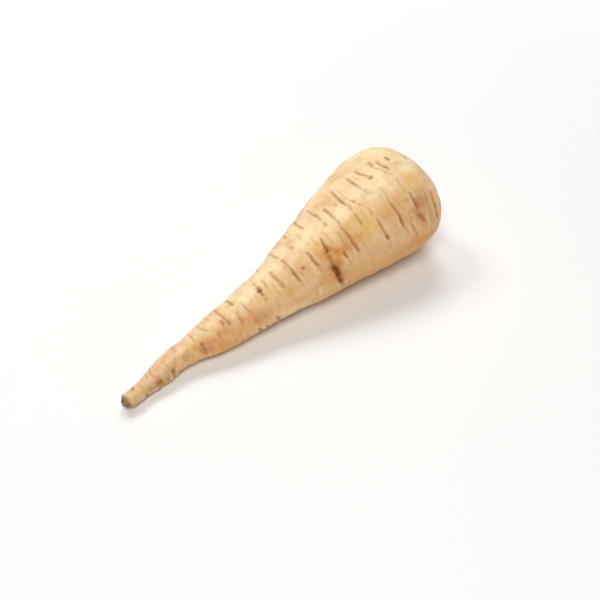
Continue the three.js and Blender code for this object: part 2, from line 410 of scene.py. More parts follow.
def crease(hue, sigma, depth, dark, course, key, lips=0.42, halo=0.44, lip_pallor_and_highlight=0.30):
    """A shallow transverse furrow along the course, tapered at both ends, between
    two swollen lips, paler partly as the skin's own ridges and partly as a painted highlight."""
    pts = sorted(course, key=lambda p: p[1])
    keep = [pts[0]]
    for p in pts[1:]:
        if p[1] - keep[-1][1] > 0.5:
            keep.append(p)
    if len(keep) < 2:
        keep = [keep[0], (keep[0][0], keep[0][1] + 3)]
    cs, ct = (np.array(q, float) for q in zip(*keep))
    mid, half = (ct[0] + ct[-1]) / 2, (ct[-1] - ct[0]) / 2
    r = radius_near(cs.mean())
    length = math.radians(2 * half) * r
    # a mark is never shorter than the mesh can carry
    least = 0.75 * 2 * math.pi * r / SEGMENTS
    grow = max(1.0, least * 2 / max(length, 1e-6)) * 1.06
    reach = half * grow
    d = (np.degrees(theta) - mid + 180) % 360 - 180
    cols = np.nonzero(np.abs(d) < reach)[0]
    if not len(cols):
        return
    d = d[cols]
    at = d / reach
    mm = np.radians(d) * r
    line = hermite(mid + d / grow, ct, cs) + 0.20 * wobble(mm / 2.6, key * 3.7, 0.5)
    end = np.clip(1.8 / max(length, 0.1), 0.2, 0.6)
    taper = smoothstep(0, end, 1 - np.abs(at))
    wide = (max(1.34 * sigma, 0.44) * (0.9 + 0.35 * wobble(mm / 3.1, key * 1.9, 4.5))
            * (0.6 + 0.4 * taper))
    depth_at = 1.5 * depth * taper * (0.95 + 0.35 * wobble(mm / 2.2, key * 2.3, 8.5))
    dark_at = dark ** 0.75 * taper * (0.92 + 0.52 * wobble(mm / 1.7, key * 4.1, 2.5))
    rows = np.nonzero((ring_s > line.min() - 5) & (ring_s < line.max() + 5))[0]
    if not len(rows):
        return
    off = ring_s[rows][:, None] - line[None]
    x = off / wide[None]
    block = np.ix_(rows, cols)
    lip_at = 0.85 + 1.2 * wide[None]
    above, below = np.exp(-((off - lip_at) / 0.8) ** 2), np.exp(-((off + lip_at) / 0.8) ** 2)
    relief[block] += depth_at * (-np.exp(-x * x / 2) + lips * (1.15 * above + 0.8 * below))
    key_hue = "m" if hue == "g" else hue
    ink[key_hue][block] = over(ink[key_hue][block], 0.80 * dark_at * np.exp(-x * x / 2.8))
    ink["t"][block] = over(ink["t"][block], halo * dark_at * np.exp(-(off / 1.4) ** 2 / 2))
    patchy = np.clip(0.5 + 0.95 * wobble(mm / 2.6, key * 5.3, 6.5), 0, 1)
    stain[SMEAR[hue]][block] = over(stain[SMEAR[hue]][block],
                                    0.5 * dark_at * patchy * np.exp(-((off - 0.3) / 1.25) ** 2))
    # paler lips: partly the skin's own paler ridges, partly a painted highlight
    stain["w"][block] = over(stain["w"][block], lip_pallor_and_highlight * dark_at * (above + 0.7 * below))


def spot(hue, s, deg, rs, rg, height, dark, key):
    """A small round mark: a bump if height is positive, a pit if it is negative."""
    r = radius_near(s)
    rg = max(rg, 0.6 * 2 * math.pi * r / SEGMENTS)
    g = np.radians((DEG - deg + 180) % 360 - 180) * r
    d2 = ((S - s) / rs) ** 2 + (g / rg) ** 2
    near = d2 < 12
    rag = 1 + 0.35 * wobble(S[near] / 1.1, GY[near] / 1.4 + key, GZ[near] / 1.4)
    e = np.exp(-d2[near] * rag)
    relief[near] += height * e
    if hue in ink:
        ink[hue][near] = over(ink[hue][near], dark * e)


# ---- broad lumps, ring folds and fine wrinkles ---------------------------------
lump = (0.34 * Noise(11)(S / 19, GY / 15, GZ / 15)
        + 0.17 * Noise(12)(S / 7.5, GY / 9, GZ / 9)
        + 0.07 * Noise(13)(S / 3.2, GY / 4.5, GZ / 4.5))
warp = S + 1.5 * Noise(14)(S / 13, GY / 12, GZ / 12) + 0.5 * Noise(15)(S / 5, GY / 5, GZ / 5)
folds = Noise(16)(warp / 3.4, GY / 19, GZ / 19)
fold_here = np.clip(0.55 + 0.9 * Noise(17)(S / 15, GY / 11, GZ / 11), 0.12, 1.2)
fine = Noise(18)(warp / 1.35, GY / 10, GZ / 10)
fine_here = np.clip(0.5 + 0.9 * Noise(19)(S / 9, GY / 8, GZ / 8), 0.05, 1.2)
thread = Noise(20)(warp / 0.8, GY / 5, GZ / 5)
thread_here = np.clip(0.35 + 1.0 * Noise(21)(S / 7, GY / 6, GZ / 6), 0, 1)
swell = Noise(22)(warp / 6.5, GY / 16, GZ / 16)
near_crown = smoothstep(172, 200, S)
streaks = 1 - 0.75 * near_crown
relief += is_side * (lump + 0.34 * swell + streaks * (
    0.25 * folds * fold_here - 0.15 * np.clip(fine - 0.05, 0, 1) * fine_here
    + 0.05 * np.clip(-fine, 0, 1) * fine_here
    - 0.05 * np.clip(thread - 0.1, 0, 1) * thread_here))
relief += is_side * near_crown * 0.10 * Noise(23)(S / 2.6, GY / 3.0, GZ / 3.0)

# ---- creases laid on the upper side -------------------------------------------
for i, (hue, sigma, depth, dark, course) in enumerate(CREASES):
    crease(hue, sigma, depth, dark, course, i + 1)

# the deep part of the old wound
spot("d", 124.9, 164, 1.15, 2.8, -0.30, 0.70, 3)
spot("r", 124.2, 158, 2.0, 4.4, -0.15, 0.55, 4)

# ---- stains -------------------------------------------------------------------
edge = Noise(30)(S / 4.0, GY / 4.0, GZ / 4.0)


def blot(hue, s, deg, rs, rg, strength):
    r = radius_near(s)
    g = np.radians((DEG - deg + 180) % 360 - 180) * r
    d2 = ((S - s) / rs) ** 2 + (g / rg) ** 2
    stain[hue][:] = over(stain[hue], strength * np.exp(-d2 * np.clip(1 + 0.9 * edge, 0.3, 2)))


for hue, s, deg, rs, rg, strength in BLOTCHES:
    blot(hue, s, deg, rs, rg, min(1.3 * strength, 1))

# ---- more of both, sown at random with a fixed seed -----------------------------
seeds = np.random.RandomState(907)
taken = [(np.mean([p[0] for p in c[4]]), min(p[1] for p in c[4]), max(p[1] for p in c[4]))
         for c in CREASES]


def is_free(s, lo, hi, gap):
    for ts, tl, th in taken:
        if abs(ts - s) < gap:
            off = abs(((lo + hi) / 2 - (tl + th) / 2 + 180) % 360 - 180)
            if off < (hi - lo) / 2 + (th - tl) / 2:
                return False
    return True


thick_here = Noise(33)


def sow(count, s_from, s_to, deg_from, deg_span, length, sigma, depth, dark, hues, gap, clump=0.0):
    """Scatters creases over a strip of the skin, in loose clusters, none across another."""
    made = tries = 0
    while made < count and tries < count * 40:
        tries += 1
        s = seeds.uniform(s_from, s_to)
        r = radius_near(s)
        mm = (length[0] + (length[1] - length[0]) * seeds.uniform(0, 1) ** 1.5) * (0.6 + 0.4 * min(1.0, r / 20))
        span = min(math.degrees(mm / r), 130.0)
        mid = deg_from + seeds.uniform(0, deg_span)
        here = thick_here(np.array(s / 21), np.array(r * math.cos(math.radians(mid)) / 13),
                          np.array(r * math.sin(math.radians(mid)) / 13))
        if seeds.uniform(-1, 1) * 0.5 + float(here) * 1.6 < clump:
            continue
        if not is_free(s, mid - span / 2, mid + span / 2, gap * seeds.uniform(0.7, 1.5)):
            continue
        tilt = seeds.uniform(-1, 1) * 0.06 * mm
        bow = seeds.uniform(-1, 1) * 0.05 * mm
        course = [(s - tilt, mid - span / 2), (s + bow, mid), (s + tilt, mid + span / 2)]
        k = seeds.uniform(0, 1) ** 1.8
        pick = lambda ab: ab[0] + (ab[1] - ab[0]) * k
        crease(hues[seeds.randint(len(hues))], pick(sigma), pick(depth), pick(dark), course,
               200 + made + int(s_from) * 3 + int(deg_from))
        taken.append((s, mid - span / 2, mid + span / 2))
        made += 1


# the far side and underside carry as many deep creases as the upper side
sow(21, 118, 200, 234, 164, (4, 20), (0.28, 0.48), (0.10, 0.32), (0.25, 0.85), "obbotbr", 3.0, -0.05)
sow(19, 60, 118, 230, 172, (4, 17), (0.28, 0.48), (0.10, 0.32), (0.25, 0.85), "obbotbm", 2.6, -0.05)
sow(20, 6, 60, 228, 176, (3, 13), (0.28, 0.56), (0.12, 0.38), (0.25, 0.85), "obbrtbm", 2.2, -0.1)
sow(9, 104, 190, 226, 84, (4, 17), (0.28, 0.48), (0.10, 0.30), (0.25, 0.80), "obbotbm", 3.4, -0.3)
# faint ones, fewer on the upper side
sow(38, 118, 203, 232, 168, (3, 13), (0.26, 0.34), (0.06, 0.15), (0.05, 0.20), "tbtbtm", 1.8, -0.1)
sow(34, 55, 118, 230, 172, (3, 11), (0.26, 0.34), (0.06, 0.16), (0.05, 0.22), "tbtbtm", 1.6, -0.1)
sow(10, 118, 203, 50, 180, (3, 10), (0.26, 0.34), (0.06, 0.14), (0.03, 0.09), "tbtbtm", 2.4, -0.1)
sow(11, 55, 118, 50, 178, (3, 9), (0.26, 0.34), (0.06, 0.15), (0.03, 0.10), "tbtbtm", 2.2, -0.1)
sow(44, 4, 56, 0, 360, (2.5, 9), (0.26, 0.36), (0.06, 0.18), (0.05, 0.20), "tbtbtr", 1.4, -0.2)

# small scars of rootlets, in four loose ranks down the root
for rank in (20, 112, 205, 298):
    for s in np.arange(14, 196, 11.5):
        if seeds.uniform() < 0.42:
            continue
        deg = rank + seeds.uniform(-22, 22)
        at = s + seeds.uniform(-4, 4)
        visible = 45 < deg % 360 < 225
        dark = seeds.uniform(0.12, 0.3) if visible else seeds.uniform(0.3, 0.8)
        n = int(at * 7 + deg)
        spot("b", at, deg, 0.9, 1.3, 0.16, 0.0, n)
        spot("bdo"[n % 3], at, deg, 0.42, 0.8, -0.26, dark, n)

# nubs where rootlets broke off, under the tail
for s, deg, high in ((41.5, 212, 0.75), (31.0, 214, 0.65), (19.5, 214, 0.6), (52.0, 300, 0.6),
                     (68.0, 262, 0.7), (27.0, 318, 0.55), (12.5, 285, 0.5), (88.0, 318, 0.6),
                     (104.0, 236, 0.5), (61.0, 20, 0.45)):
    spot("b", s, deg, 1.0, 1.1, high, 0.35, int(s))
    spot("d", s + 0.1, deg, 0.5, 0.6, -0.25, 0.75, int(s) + 1)

# stains on the far side
for hue, s0, s1, n, size, strong in (
        ("t", 20, 190, 16, (3.5, 8), (0.3, 0.7)), ("y", 20, 190, 10, (3.5, 7), (0.25, 0.55)),
        ("w", 60, 185, 9, (4, 8), (0.3, 0.5)), ("g", 90, 185, 7, (4, 7), (0.25, 0.4)),
        ("p", 15, 120, 6, (2.5, 4.5), (0.3, 0.55)), ("r", 30, 195, 5, (1.8, 3.6), (0.3, 0.55)),
        ("m", 120, 190, 3, (3, 5), (0.3, 0.5)), ("o", 10, 190, 5, (2, 4), (0.2, 0.4))):
    for _ in range(n):
        size_mm = seeds.uniform(*size)
        s = seeds.uniform(s0, s1)
        size_mm *= 0.45 + 0.55 * min(1.0, radius_near(s) / 20)
        blot(hue, s, seeds.uniform(232, 398), size_mm, size_mm * seeds.uniform(0.6, 1.1),
             seeds.uniform(*strong))

# short faint marks round the hidden part of the shoulder
sow(16, 186, 204, 232, 168, (2.5, 9), (0.26, 0.40), (0.06, 0.16), (0.10, 0.42), "tbtbmr", 1.7, -0.3)

# ---- the broken tip ------------------------------------------------------------
face = 1 - smoothstep(0.2, 2.8, S)
relief += face * (0.30 * Noise(40)(GY / 1.6, GZ / 1.6, S / 1.7)
                  + 0.18 * Noise(41)(GY / 0.75, GZ / 0.75, S / 0.9))
on_face = 1 - smoothstep(-0.5, 1.4, S)
relief += on_face * (0.85 * np.clip(1 - (R / 3.6) ** 2, 0, 1) - 0.10 * GZ + 0.07 * GY
                     + 0.26 * np.exp(-(R / 0.9) ** 2) - 0.14 * np.exp(-((R - 1.5) / 0.4) ** 2))
relief -= 0.62 * np.exp(-((S - 1.3) / 1.7) ** 2)
relief -= 0.60 * np.exp(-((S - 1.5) / 3.2) ** 2) * np.clip(np.cos(T - math.radians(225)), 0, 1)
below_tip = 0.72 + 0.28 * np.cos(T - math.radians(315))
tip_edge = (smoothstep(0.6, 1.8, R) * (1 - smoothstep(0.5, 2.4, S + 0.5 * np.cos(T - math.radians(134)))) * below_tip
            * np.clip(1.1 + 0.6 * Noise(42)(GY / 2, GZ / 2, S / 2), 0.65, 1))
tip_edge = np.maximum(tip_edge, 0.85 * on_face * smoothstep(0.5, 1.9, R)
                      * np.clip(0.25 + 0.9 * np.cos(T - math.radians(248)) + 0.3 * Noise(43)(GY / 1.3, GZ / 1.3, 0.4), 0, 1))
around_tip = np.radians((DEG - 134 + 180) % 360 - 180) * R
tip_core = np.exp(-((S - 2.8) / 2.1) ** 2 - (around_tip / 2.3) ** 2)

# ---- the crown -----------------------------------------------------------------
in_crown = np.zeros_like(S)
in_crown[first_crown - 3:] = 1.0
disc = np.zeros_like(S)
disc[first_crown:] = 1.0
disc *= 1 - smoothstep(11.6, 12.4, R)
U, V = R * np.cos(T), R * np.sin(T)
WU = U + 0.9 * Noise(58)(U / 4.2, V / 4.2, 0.9) + 0.30 * Noise(48)(U / 1.3, V / 1.3, 0.9)
WV = V + 0.9 * Noise(59)(U / 4.2, V / 4.2, 1.9) + 0.30 * Noise(49)(U / 1.3, V / 1.3, 1.9)
WR, WT = np.hypot(WU, WV), np.arctan2(WV, WU)
# torn bases of old leaves: broken rings, coarser outwards
centred = smoothstep(0.5, 2.0, R)
torn = centred * Noise(62)(WR / 1.30, 2.1 * np.cos(WT), 2.1 * np.sin(WT))
torn2 = centred * Noise(63)(WR / 0.62, 3.4 * np.cos(WT), 3.4 * np.sin(WT))
crown_h = (0.27 * np.tanh(2.2 * torn + 0.2) + 0.15 * torn2 + 0.20 * Noise(50)(U / 3.4, V / 3.4, 0.3)
           + 0.12 * Noise(51)(U / 0.9, V / 0.9, 0.7) - 0.40 * np.exp(-((R - 10.6) / 1.8) ** 2)
           + 0.35 * np.exp(-(R / 4.0) ** 2))
tone = 0.30 + 0.35 * Noise(64)(U / 2.6, V / 2.6, 5.1)
# the stubs of the last leaves, each a curved sheath with a hollow inner side
pick_stub = np.random.RandomState(41)
STUBS = ((2.6, 200, 68, 0.75, 1.0), (3.3, 40, 60, 0.80, 1.2), (5.4, 300, 40, 0.95, 1.5),
         (5.7, 120, 46, 1.00, 1.2), (5.9, 210, 30, 0.85, 0.9), (8.2, 20, 27, 1.15, 1.3),
         (8.6, 88, 24, 1.00, 0.9), (8.5, 165, 30, 1.20, 1.5), (9.4, 248, 17, 0.90, 0.7),
         (9.0, 335, 22, 1.00, 1.0))
for k, (rad, deg, half_deg, thick, high) in enumerate(STUBS):
    cu, cv = pick_stub.uniform(-0.5, 0.5, 2)
    rr = np.hypot(WU - cu, WV - cv)
    q = ((np.degrees(np.arctan2(WV - cv, WU - cu)) - deg + 180) % 360 - 180) / half_deg
    body = np.clip(1 - q * q, 0, 1)
    line = rad * (1 - 0.16 * q * q) + 0.35 * Noise(320 + k)(q * 1.7, k * 1.3, 0.5)
    across = (rr - line) / (thick * (0.30 + 0.70 * body ** 0.5))
    ridge = np.exp(-np.abs(across) ** 2.6) * smoothstep(0, 0.45, body)
    cup = np.exp(-((across + 1.15) / 0.75) ** 2) * smoothstep(0, 0.5, body)
    top = high * (0.85 + 0.30 * q * pick_stub.uniform(-1, 1) + 0.45 * Noise(300 + k)(U / 1.3, V / 1.3, k)
                  + 0.18 * across)
    crown_h = crown_h + ridge * (np.maximum(top, 0.15) - 0.55 * crown_h) - 0.40 * cup
    tone = tone * (1 - ridge) + ridge * pick_stub.uniform(0.55, 1.0)
# one fresher scar, cut smooth, low on the disc
scar_r = np.hypot((WU + 1.2) / 3.1, (WV + 6.9) / 2.4)
fresh = np.exp(-scar_r ** 5)
crown_h = crown_h * (1 - 0.9 * fresh) + fresh * (0.45 + 0.35 * np.exp(-((scar_r - 0.75) / 0.2) ** 2)
                                                 + 0.08 * Noise(47)(U / 0.9, V / 0.9, 3.3))
fresh_core = np.exp(-(scar_r / 0.55) ** 2.5)
bud = np.exp(-((U - 0.3) ** 2 + (V + 0.2) ** 2) / 1.0)
crown_h += 0.6 * bud
relief += disc * crown_h
crown_high = np.clip(0.5 + 0.55 * crown_h, 0, 1)
turned = np.cos(T - math.radians(215))
ring_w = 0.50 + 0.24 * turned + 0.26 * Noise(46)(U / 4, V / 4, 0.6)
ring_at = 12.95 + 0.35 * Noise(45)(U / 6, V / 6, 0.2)
groove = (in_crown * np.exp(-np.abs((R - ring_at) / ring_w) ** 2.4) * (S > SIDE_LENGTH - 0.2)
          * np.clip(0.74 + 0.34 * turned + 0.50 * Noise(44)(U / 2.4, V / 2.4, 0.8), 0.3, 1))
relief += in_crown * (S > SIDE_LENGTH) * (1 - disc) * 0.12 * Noise(53)(U / 1.2, V / 1.2, S / 1.2)
# the rim turns in unevenly
rim = np.exp(-((S - SIDE_LENGTH) / 1.6) ** 2)
relief += rim * (0.30 * Noise(54)(U / 4.5, V / 4.5, 0.2) + 0.16 * Noise(55)(U / 1.6, V / 1.6, 0.2))
# shallow rings round the rim
shoulder = smoothstep(SIDE_LENGTH - 13, SIDE_LENGTH - 5, S) * (1 - smoothstep(SIDE_LENGTH - 1.5, SIDE_LENGTH, S))
relief += shoulder * 0.09 * Noise(56)((S + 0.7 * Noise(57)(U / 6, V / 6, 0.4)) / 1.15, U / 13, V / 13)

# ---- how far a point lies below or above its neighbours along the root ---------
span = 6
padded = np.concatenate([relief[:1].repeat(span, 0), relief, relief[-1:].repeat(span, 0)])
total = np.cumsum(np.concatenate([np.zeros((1, SEGMENTS)), padded]), 0)
hollow = np.clip(((total[2 * span + 1:] - total[:-2 * span - 1]) / (2 * span + 1) - relief) / 0.16, -1, 1)

# =========================================================================
# 3. The mesh: one closed skin, set down on the surface.
# =========================================================================
base = on_root(A, R, T)
along_i = np.gradient(base, axis=0)
along_j = np.roll(base, -1, 1) - np.roll(base, 1, 1)
normal = unit(np.cross(along_j, along_i))
middle = centre(A) + np.array([TIP_X, TIP_Y, 0.0])
body = slice(TIP_RINGS + 30, first_crown - 60)
if (normal[body] * (base[body] - middle[body])).sum() < 0:
    normal = -normal
spine = unit(centre(np.array([ROOT_LENGTH - 0.01])) - centre(np.array([ROOT_LENGTH - 0.5])))[0]
tail = unit(centre(np.array([0.5])) - centre(np.array([0.01])))[0]
points = base + normal * relief[..., None]
poles = np.stack([
    on_root(np.zeros(1), np.zeros(1), np.zeros(1))[0] - tail * relief[0].mean(),
    on_root(np.full(1, ROOT_LENGTH - 0.5), np.zeros(1), np.zeros(1))[0] + spine * relief[-1].mean()])
low = base[..., 2].min() + REST_SINK


def set_down(z):
    z = z - low
    return (z + np.sqrt(z * z + 0.15 ** 2)) / 2


points[..., 2] = set_down(points[..., 2])
poles[:, 2] = set_down(poles[:, 2])

verts = np.concatenate([points.reshape(-1, 3), poles]) * MM
tip_pole, crown_pole = RINGS * SEGMENTS, RINGS * SEGMENTS + 1
i, j = np.meshgrid(np.arange(RINGS - 1), np.arange(SEGMENTS), indexing="ij")
k = (j + 1) % SEGMENTS
quads = np.stack([i * SEGMENTS + j, i * SEGMENTS + k, (i + 1) * SEGMENTS + k,
                  (i + 1) * SEGMENTS + j], -1).reshape(-1, 4)
j = np.arange(SEGMENTS)
k = (j + 1) % SEGMENTS
last = (RINGS - 1) * SEGMENTS
fans = np.concatenate([np.stack([k, j, np.full(SEGMENTS, tip_pole)], -1),
                       np.stack([last + j, last + k, np.full(SEGMENTS, crown_pole)], -1)])
tris = np.concatenate([quads[:, [0, 1, 2]], quads[:, [0, 2, 3]], fans])
v0, v1, v2 = (verts[tris[:, n]] for n in range(3))
if (v0 * np.cross(v1, v2)).sum() < 0:
    quads, fans = quads[:, ::-1], fans[:, ::-1]

mesh = bpy.data.meshes.new("parsnip")
mesh.from_pydata(verts.tolist(), [], quads.tolist() + fans.tolist())
mesh.update()
mesh.polygons.foreach_set("use_smooth", np.ones(len(mesh.polygons), bool))


def with_poles(field):
    flat = field.reshape(RINGS * SEGMENTS)
    return np.concatenate([flat, [field[0].mean(), field[-1].mean()]])


def keep(name, *fields):
    """Stores one or three fields on the mesh's points for the material."""
    cols = [with_poles(f) for f in fields]
    if len(cols) == 1:
        layer = mesh.attributes.new(name, "FLOAT", "POINT")
        layer.data.foreach_set("value", cols[0].astype(np.float32))
    else:
        layer = mesh.attributes.new(name, "FLOAT_VECTOR", "POINT")
        layer.data.foreach_set("vector", np.stack(cols, -1).astype(np.float32).ravel())


# below the top the skin turns tan: partly its own tone, partly painted shade. The lower flank of the tail and the bulb
# is warmer and browner still: partly its own tone, partly painted warm reflected light and shade.
turn = DEG + 16 * Noise(60)(S / 17, GY / 14, GZ / 14) + 9 * Noise(61)(S / 6, GY / 6, GZ / 6)
below_tan_and_shade = smoothstep(98, 134, turn) * (1 - smoothstep(296, 338, turn))
belly_tint_and_bounce = smoothstep(150, 182, turn) * (1 - smoothstep(276, 318, turn)) * (
    0.6 * smoothstep(24, 58, S) * (1 - smoothstep(70, 88, S)) + 0.15 * smoothstep(70, 88, S)
    + 0.85 * smoothstep(108, 132, S) * (1 - smoothstep(176, 192, S)))
crown_area = in_crown * (S > SIDE_LENGTH - 0.4) * (1 - smoothstep(13.7, 14.4, R) * (S < SIDE_LENGTH + 0.8))
keep("skin", S, GY, GZ)
keep("belly_tint_and_bounce", belly_tint_and_bounce)
keep("ink_a", ink["d"], ink["o"], ink["b"])
keep("ink_b", ink["r"], ink["t"], ink["m"])
keep("stain_a", stain["t"], stain["y"], stain["g"])
keep("stain_b", stain["p"], stain["w"], stain["o"])
keep("stain_c", stain["r"], stain["m"], rim)
keep("form", hollow, near_crown, below_tan_and_shade)
keep("crown", crown_area, crown_high * disc, groove)
keep("crown_b", tone * disc, fresh * disc, fresh_core * disc)
keep("tip", on_face, tip_edge, tip_core)

root = bpy.data.objects.new("parsnip_whole_root", mesh)
bpy.context.scene.collection.objects.link(root)
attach(root, "root")
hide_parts("parsnip_root")

# =========================================================================
# 4. Skin material
# =========================================================================
def rgb(r, g, b):
    """A display colour, 0 to 255, as the linear colour that a shader takes."""
    lin = [(c / 255 / 12.92) if c <= 10 else ((c / 255 + 0.055) / 1.055) ** 2.4 for c in (r, g, b)]
    return (*lin, 1.0)


BASE = rgb(239, 206, 156)
CREAM = rgb(247, 224, 181)
TAN_AND_SHADE = rgb(230, 189, 133)
SAND = rgb(216, 168, 109)
STAINS = {
    "t": rgb(214, 142, 70), "y": rgb(229, 182, 90), "g": rgb(208, 180, 140), "p": rgb(238, 176, 140),
    "w": rgb(253, 233, 192), "o": rgb(150, 120, 58), "r": rgb(184, 100, 46), "m": rgb(172, 114, 74)}
INKS = {
    "t": rgb(196, 126, 58), "m": rgb(150, 98, 56), "r": rgb(158, 82, 32), "o": rgb(146, 110, 42),
    "b": rgb(140, 84, 26), "d": rgb(114, 60, 4)}

CORES = {"m": rgb(118, 70, 36), "r": rgb(132, 62, 20), "o": rgb(110, 84, 28), "b": rgb(106, 60, 16),
         "d": rgb(104, 50, 2)}

skin = bpy.data.materials.new("parsnip_skin")
skin.use_nodes = True
tree = skin.node_tree
tree.nodes.clear()


def node(kind, sockets=(), out=0, **settings):
    """Adds a node. sockets is (index or name, value or output) pairs."""
    n = tree.nodes.new(kind)
    for key, value in settings.items():
        setattr(n, key, value)
    for key, value in sockets:
        if isinstance(value, bpy.types.NodeSocket):
            tree.links.new(value, n.inputs[key])
        else:
            n.inputs[key].default_value = value
    return n.outputs[out]


def fields(name):
    v = node("ShaderNodeAttribute", attribute_name=name, out=1)
    s = tree.nodes.new("ShaderNodeSeparateXYZ")
    tree.links.new(v, s.inputs[0])
    return s.outputs[0], s.outputs[1], s.outputs[2]


def calc(op, a, b=0.0, c=0.0, clamp=False):
    return node("ShaderNodeMath", ((0, a), (1, b), (2, c)), operation=op, use_clamp=clamp)


def mix(a, b, amount):
    return node("ShaderNodeMix", ((0, amount), (6, a), (7, b)), out=2, data_type="RGBA",
                clamp_factor=True)


def remap(value, lo, hi, to_lo=0.0, to_hi=1.0):
    return node("ShaderNodeMapRange", ((0, value), (1, lo), (2, hi), (3, to_lo), (4, to_hi)),
                clamp=True, interpolation_type="SMOOTHSTEP")


where = node("ShaderNodeAttribute", attribute_name="skin", out=1)
along_at = node("ShaderNodeSeparateXYZ", ((0, where),))


def grain(along_mm, round_mm, detail=2.0, rough=0.5, shift=0.0, twist=0.0):
    """Noise on the skin with its own wavelength along the root and round it, in mm."""
    v = node("ShaderNodeVectorMath", ((0, where), (1, (1 / along_mm, 1 / round_mm, 1 / round_mm))),
             operation="MULTIPLY")
    v = node("ShaderNodeVectorMath", ((0, v), (1, (shift, shift * 1.7, shift * 0.6))), operation="ADD")
    return node("ShaderNodeTexNoise", (("Vector", v), ("Scale", 1.0), ("Detail", detail),
                                      ("Roughness", rough), ("Distortion", twist)))


dark, olive, brown = fields("ink_a")
red, tan, mauve = fields("ink_b")
s_tan, s_yellow, s_grey = fields("stain_a")
s_pink, s_white, s_olive = fields("stain_b")
s_red, s_mauve, rim_at = fields("stain_c")
belly_tint_and_bounce_at = node("ShaderNodeAttribute", attribute_name="belly_tint_and_bounce", out=2)
hollow_at, near_crown_at, below_tan_and_shade_at = fields("form")
crown_at, high_at, groove_at = fields("crown")
tone_at, fresh_at, fresh_core_at = fields("crown_b")
tip_at, tip_edge_at, tip_core_at = fields("tip")

# ---- ground colour: cream and tan clouds, thin bands across the root ---------------
c = mix(BASE, CREAM, remap(grain(24, 17, 2), 0.40, 0.62))
# tan below the top: partly skin tone, partly painted shade
c = mix(c, TAN_AND_SHADE, calc("MULTIPLY", below_tan_and_shade_at, 0.9))
c = mix(c, SAND, calc("MULTIPLY", remap(grain(10, 12, 3, 0.55, 7.1), 0.50, 0.72), 0.66))
c = mix(c, STAINS["g"], calc("MULTIPLY", remap(grain(13, 10, 2, 0.5, 3.3), 0.56, 0.74), 0.35))
c = mix(c, STAINS["y"], calc("MULTIPLY", remap(grain(11, 9, 2, 0.5, 15.7), 0.54, 0.74), 0.42))
c = mix(c, STAINS["p"], calc("MULTIPLY", remap(grain(7, 6, 2, 0.5, 18.9), 0.58, 0.76), 0.42))
c = mix(c, CREAM, calc("MULTIPLY", remap(grain(4.2, 5.5, 3, 0.55, 24.3, 0.3), 0.52, 0.72), 0.45))
c = mix(c, SAND, calc("MULTIPLY", remap(grain(3.4, 4.6, 3, 0.55, 27.7, 0.3), 0.54, 0.74), 0.40))
banded = calc("SUBTRACT", 1.0, calc("MULTIPLY", near_crown_at, 0.8))
c = mix(c, CREAM, calc("MULTIPLY", remap(grain(1.9, 12, 3, 0.6, 1.9, 0.5), 0.52, 0.72), calc("MULTIPLY", banded, 0.36)))
c = mix(c, SAND, calc("MULTIPLY", remap(grain(1.2, 8, 3, 0.6, 12.4, 0.5), 0.54, 0.74), calc("MULTIPLY", banded, 0.36)))
c = mix(c, STAINS["t"], calc("MULTIPLY", remap(grain(0.8, 4.2, 2, 0.6, 21.5, 0.5), 0.62, 0.78), calc("MULTIPLY", banded, 0.30)))
c = mix(c, STAINS["t"], calc("MULTIPLY", remap(grain(5.2, 5.2, 3, 0.6, 35.5), 0.50, 0.72), calc("MULTIPLY", near_crown_at, 0.50)))
c = mix(c, STAINS["p"], calc("MULTIPLY", remap(grain(3.8, 3.8, 3, 0.6, 38.5), 0.52, 0.70), calc("MULTIPLY", near_crown_at, 0.55)))
c = mix(c, rgb(213, 184, 152), calc("MULTIPLY", remap(along_at, 48, 8), 0.58))
# warmer lower flank: partly skin tone, partly painted warm reflected light and shade
c = mix(c, rgb(216, 158, 90), calc("MULTIPLY", belly_tint_and_bounce_at, 0.56))
c = mix(c, rgb(228, 204, 176), calc("MULTIPLY", remap(along_at, 182, 194), 0.38))
# painted shade: sandier and darker where the skin lies in a hollow; paler on the rises
c = mix(c, SAND, calc("MULTIPLY", remap(hollow_at, 0.10, 0.9), 0.60))
c = mix(c, CREAM, calc("MULTIPLY", remap(hollow_at, -0.15, -0.9), 0.45))

# ---- stains, broken up at their edges ----------------------------------------------
broken = remap(grain(2.6, 3.4, 3, 0.6, 31.0), 0.30, 0.66, 0.7, 1.25)
for amount, hue, most in ((s_white, "w", 0.85), (s_grey, "g", 0.9), (s_yellow, "y", 0.75), (s_tan, "t", 0.95),
                          (s_pink, "p", 0.85), (s_mauve, "m", 0.75), (s_red, "r", 0.8),
                          (s_olive, "o", 0.6)):
    c = mix(c, STAINS[hue], calc("MULTIPLY", calc("MULTIPLY", amount, broken), most))

# ---- pin-head lenticels and short flecks --------------------------------------------
c = mix(c, INKS["b"], calc("MULTIPLY", remap(grain(0.42, 1.5, 1, 0.5, 41.0), 0.71, 0.80), 0.45))
c = mix(c, STAINS["t"], calc("MULTIPLY", remap(grain(0.8, 1.0, 2, 0.6, 47.0), 0.64, 0.78), 0.32))

# ---- the crease lines: a soft smear, and a ragged corky core -------------------------
fray = remap(grain(0.7, 1.4, 3, 0.65, 53.0), 0.30, 0.62, 0.45, 1.15)
cork = grain(0.34, 0.75, 3, 0.7, 57.0, 0.8)
for amount, hue, most, deep in ((tan, "t", 0.95, 0.0), (mauve, "m", 0.56, 0.34), (red, "r", 0.50, 0.22),
                                (olive, "o", 0.56, 0.34), (brown, "b", 0.50, 0.40), (dark, "d", 0.62, 0.40)):
    c = mix(c, INKS[hue], calc("MULTIPLY", calc("MULTIPLY", amount, fray), most))
    if deep:
        c = mix(c, CORES[hue], remap(calc("SUBTRACT", amount, cork), -0.10, 0.16, 0.0, deep))

